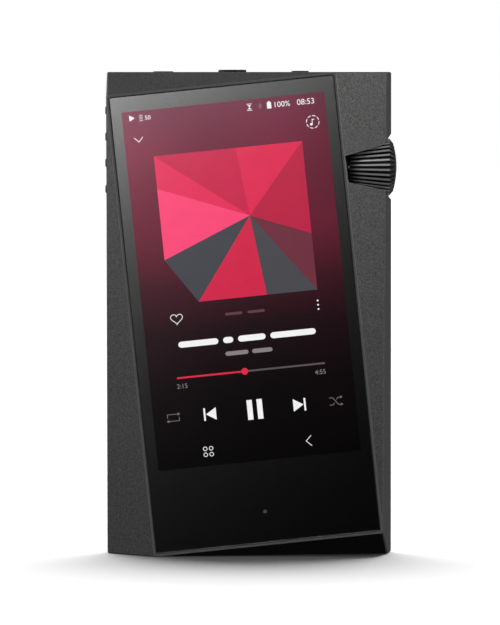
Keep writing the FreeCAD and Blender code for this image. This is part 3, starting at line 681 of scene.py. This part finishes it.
plateDepth = 0.012 * mm
layerStep = 0.03 * mm
markLayer = 2  # album picture and waiting line lie one below, the knob one above


def keepMark(name, shape, mesh, paints):
    # thickens the flat shape and lays it on the housing as a piece
    bmesh.ops.solidify(shape, geom=list(shape.faces), thickness=plateDepth)
    bmesh.ops.recalc_face_normals(shape, faces=list(shape.faces))
    shape.to_mesh(mesh)
    shape.free()
    for paint in paints:
        mesh.materials.append(paint)
    obj = bpy.data.objects.new(name, mesh)
    scene.collection.objects.link(obj)
    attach(obj, "housing")


def plate(name, loops, paints, layer=markLayer, choice=None, middle=None, front=None):
    # thin plates of light; each loop is a polygon of (right, down) points, in millimetres from the middle
    centre = middle or screenMiddle
    y = (screenFront if front is None else front) - layer * layerStep
    shape = bmesh.new()
    faces = []
    for loop in loops:
        corners = []
        for u, v in loop:
            spot = centre + rightward * (u * mm) + downward * (v * mm)
            corners.append(shape.verts.new((spot.x, y, spot.z)))
        faces.append(shape.faces.new(corners))
    if choice:
        for face, index in zip(faces, choice):
            face.material_index = index
    bmesh.ops.remove_doubles(shape, verts=shape.verts, dist=weldGap)
    shape.normal_update()
    for face in shape.faces:
        if face.normal.y > 0:
            face.normal_flip()
    keepMark(name, shape, bpy.data.meshes.new(name), paints)


def rect(u, v, width, height):
    return [(u - width / 2, v - height / 2), (u + width / 2, v - height / 2),
            (u + width / 2, v + height / 2), (u - width / 2, v + height / 2)]


def pillBar(u, v, width, height, steps=5):
    # bar with rounded ends
    radius = height / 2
    points = []
    for side in (1, -1):
        for step in range(steps + 1):
            turn = math.pi * (step / steps - 0.5) + (0 if side == 1 else math.pi)
            points.append((u + side * (width / 2 - radius) + radius * math.cos(turn),
                           v + radius * math.sin(turn)))
    return points


def disc(u, v, radius, steps=28):
    turns = [2 * math.pi * k / steps for k in range(steps)]
    return [(u + radius * math.cos(turn), v + radius * math.sin(turn)) for turn in turns]


def stroke(points, width, closed=False):
    # quads along a line, with mitred corners
    count = len(points)
    left, right = [], []
    for k in range(count):
        here = Vector(points[k])
        before = Vector(points[k - 1]) if (closed or k > 0) else None
        after = Vector(points[(k + 1) % count]) if (closed or k < count - 1) else None
        dirs = []
        if before is not None:
            dirs.append((here - before).normalized())
        if after is not None:
            dirs.append((after - here).normalized())
        along = sum(dirs, Vector((0, 0))).normalized()
        normal = Vector((-along.y, along.x))
        flat = Vector((-dirs[0].y, dirs[0].x))
        reach = width / 2 / max(0.4, normal.dot(flat))
        left.append(tuple(here + normal * reach))
        right.append(tuple(here - normal * reach))
    last = count if closed else count - 1
    return [[left[k], left[(k + 1) % count], right[(k + 1) % count], right[k]] for k in range(last)]


def arc(u, v, radius, start, end, steps=20):
    turns = [math.radians(start + (end - start) * k / steps) for k in range(steps + 1)]
    return [(u + radius * math.cos(turn), v + radius * math.sin(turn)) for turn in turns]


def digits(name, text, u, v, cap, ink):
    # numbers only, centred on u and v, with capital height cap
    curve = bpy.data.curves.new(name, "FONT")
    curve.body = text
    curve.align_x = "CENTER"
    holder = bpy.data.objects.new(name + "Text", curve)
    scene.collection.objects.link(holder)
    bpy.context.view_layer.update()
    evaluated = holder.evaluated_get(bpy.context.evaluated_depsgraph_get())
    mesh = bpy.data.meshes.new_from_object(evaluated)
    bpy.data.objects.remove(holder)
    scale = cap / max(vert.co.y for vert in mesh.vertices)
    y = screenFront - markLayer * layerStep
    for vert in mesh.vertices:
        spot = screenMiddle + rightward * ((vert.co.x * scale + u) * mm)
        spot = spot - downward * ((vert.co.y * scale - cap / 2 - v) * mm)
        vert.co = (spot.x, y, spot.z)
    mesh.materials.clear()
    shape = bmesh.new()
    shape.from_mesh(mesh)
    bmesh.ops.remove_doubles(shape, verts=shape.verts, dist=weldGap)
    keepMark(name, shape, mesh, [ink])


art = {"left": -16.55, "right": 16.7, "top": -29.8, "bottom": 3.5, "meet": (0.60, 0.46)}
artTones = [srgb(205, 36, 78), srgb(226, 42, 84), srgb(190, 34, 70), srgb(112, 48, 64), srgb(74, 74, 80),
            srgb(212, 38, 74), srgb(70, 70, 78), srgb(255, 72, 122), srgb(232, 46, 92)]
artRim = [(0, 0), (0.55, 0), (1, 0), (1, 0.62), (1, 1), (0.66, 1), (0.2, 1), (0, 0.7), (0, 0.22)]


def albumArt():
    # square picture of flat facets that fan from one point
    wide = art["right"] - art["left"]
    high = art["bottom"] - art["top"]

    def spot(point):
        return (art["left"] + wide * point[0], art["top"] + high * point[1])
    meet = spot(art["meet"])
    loops = [[spot(artRim[k]), spot(artRim[(k + 1) % len(artRim)]), meet] for k in range(len(artRim))]
    facets = [litInk("artFacet%d" % (k + 1), tone) for k, tone in enumerate(artTones)]
    plate("albumArt", loops, facets, layer=1, choice=range(len(loops)))


thinLine, thickLine = 0.14, 0.15


def statusRow():
    white = [inks["white"]]
    plate("playMark", [[(-21.1, -39.4), (-19.9, -38.7), (-21.1, -38.0)]], white)
    chevrons = []
    for k in range(3):
        base = -39.05 + 0.56 * k
        chevrons += stroke([(-18.9, base + 0.1), (-18.5, base - 0.25), (-18.1, base + 0.1)], 0.11)
    plate("gainMark", chevrons, white)
    digits("gainDigits", "50", -17.0, -38.55, 0.95, inks["white"])
    sand = [[(5.35, -38.95), (6.25, -38.95), (5.8, -38.5)], [(5.35, -38.05), (5.8, -38.5), (6.25, -38.05)]]
    lids = [rect(5.8, -39.2, 1.2, thinLine), rect(5.8, -37.8, 1.2, thinLine)]
    plate("timerMark", sand + lids, white)
    waves = [stroke(arc(7.7, -38.5, radius, -60, 60, 8), thinLine) for radius in (0.35, 0.7)]
    plate("signalMark", waves[0] + waves[1], [inks["grey"]])
    plate("batteryMark", [rect(10.2, -38.45, 0.95, 1.4), rect(10.2, -39.28, 0.45, 0.22)], white)
    digits("chargeDigits", "100%", 13.0, -38.5, 1.2, inks["white"])
    digits("clockDigits", "08:53", 18.4, -38.5, 1.25, inks["white"])


def headerRow():
    chevron = stroke([(-20.5, -34.35), (-19.5, -33.3), (-18.5, -34.35)], thickLine)
    plate("downChevron", chevron, [inks["white"]])
    broken = []
    for k in range(8):
        broken += stroke(arc(19.5, -33.8, 1.4, 45 * k, 45 * k + 31, 5), 0.17)
    note = disc(19.15, -33.3, 0.3, 14)
    plate("castRing", broken + [note, rect(19.38, -33.85, 0.15, 1.1), rect(19.6, -34.35, 0.6, 0.17)],
          [inks["white"]])


def infoRow():
    heart = []
    for k in range(36):
        turn = 2 * math.pi * k / 36
        heart.append((-15.2 + 0.084 * 16 * math.sin(turn) ** 3,
                      6.75 - 0.078 * (13 * math.cos(turn) - 5 * math.cos(2 * turn)
                                      - 2 * math.cos(3 * turn) - math.cos(4 * turn))))
    plate("heartMark", stroke(heart, thickLine, closed=True), [inks["white"]])
    plate("rateBars", [pillBar(-2.4, 6.9, 3.9, 0.6), pillBar(2.6, 6.9, 3.9, 0.6)], [inks["dim"]])
    plate("moreDots", [disc(16.5, 6.9 + 0.95 * k, 0.2, 14) for k in (-1, 0, 1)], [inks["white"]])


titleLook = {"start": -15.45, "down": 12.65, "widths": (9.0, 2.3, 6.2, 10.2), "gap": 1.05, "high": 1.35}


def titleRows():
    at = titleLook["start"]
    bars = []
    for width in titleLook["widths"]:
        bars.append(pillBar(at + width / 2, titleLook["down"], width, titleLook["high"]))
        at += width + titleLook["gap"]
    plate("titleBars", bars, [inks["white"]])
    plate("artistBars", [pillBar(-2.6, 15.7, 5.2, 0.95), pillBar(3.1, 15.7, 4.6, 0.95)], [inks["grey"]])


track = {"down": 20.0, "high": 0.4, "left": -16.5, "right": 16.7, "played": -1.3, "knob": 0.76}


def progressRow():
    down, high, here = track["down"], track["high"], track["played"]
    playedWide, waitingWide = here - track["left"], track["right"] - here
    plate("playedLine", [rect(here - playedWide / 2, down, playedWide, high)], [inks["red"]])
    plate("waitingLine", [rect(here + waitingWide / 2, down, waitingWide, high)], [inks["track"]], layer=1)
    plate("progressKnob", [disc(here, down, track["knob"])], [inks["red"]], layer=3)
    digits("playedDigits", "2:15", -15.5, 21.85, 1.0, inks["grey"])
    digits("lengthDigits", "4:55", 15.5, 21.85, 1.0, inks["grey"])


def controlRow():
    white, grey = [inks["white"]], [inks["faint"]]
    v = 28.7
    loop = [(-19.5, v + 0.1), (-19.5, v - 0.75), (-17.1, v - 0.75)]
    other = [(-16.9, v - 0.1), (-16.9, v + 0.75), (-19.3, v + 0.75)]
    heads = [[(-17.2, v - 1.1), (-16.6, v - 0.75), (-17.2, v - 0.4)],
             [(-19.2, v + 0.4), (-19.2, v + 1.1), (-19.8, v + 0.75)]]
    plate("repeatMark", stroke(loop, thickLine) + stroke(other, thickLine) + heads, grey)
    plate("previousMark", [rect(-11.2, v, 0.4, 2.8), [(-8.6, v - 1.4), (-8.6, v + 1.4), (-10.9, v)]], white)
    plate("pauseMark", [rect(-1.02, v, 1.2, 4.45), rect(1.22, v, 1.2, 4.45)], white)
    plate("nextMark", [rect(11.3, v, 0.4, 2.8), [(8.7, v - 1.4), (11.0, v), (8.7, v + 1.4)]], white)
    first = stroke([(16.8, v - 0.8), (17.6, v - 0.8), (18.8, v + 0.8), (19.4, v + 0.8)], thickLine)
    second = stroke([(16.8, v + 0.8), (17.6, v + 0.8), (17.95, v + 0.33)], thickLine)
    third = stroke([(18.4, v - 0.33), (18.8, v - 0.8), (19.4, v - 0.8)], thickLine)
    tips = [[(19.3, v - 1.1), (19.85, v - 0.8), (19.3, v - 0.5)],
            [(19.3, v + 0.5), (19.85, v + 0.8), (19.3, v + 1.1)]]
    plate("shuffleMark", first + second + third + tips, grey)


def bottomRow():
    rings = []
    for du in (-0.66, 0.66):
        for dv in (-0.66, 0.66):
            rings += stroke(disc(-11.2 + du, 37.0 + dv, 0.42, 16), thinLine, closed=True)
    plate("appsMark", rings, [inks["white"]])
    plate("backChevron", stroke([(11.95, 35.75), (10.75, 36.9), (11.95, 38.05)], thinLine), [inks["white"]])


albumArt()
statusRow()
headerRow()
infoRow()
titleRows()
progressRow()
controlRow()
bottomRow()

homeDot = {"down": 44.2, "radius": 0.42, "clear": 0.02 * mm}
homeInk, homeTree, homeShader = newMaterial("homeDotInk")
homeGrain = placeGroup(homeTree, grainGroup, Colour=(0.45, 0.45, 0.45, 1), Scale=2500.0, Tone=0.05,
                       Roughness=0.4)
homeTree.links.new(homeGrain.outputs["Colour"], homeShader.inputs["Base Color"])
homeTree.links.new(homeGrain.outputs["Roughness"], homeShader.inputs["Roughness"])
# printed on the inside face of the glass, so it sits in the thin gap behind it
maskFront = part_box("glass_tape")[0].y
plate("homeDot", [disc(0, homeDot["down"], homeDot["radius"])], [homeInk], layer=0, middle=glassMiddle,
      front=maskFront - homeDot["clear"])
print("picture marks are laid")
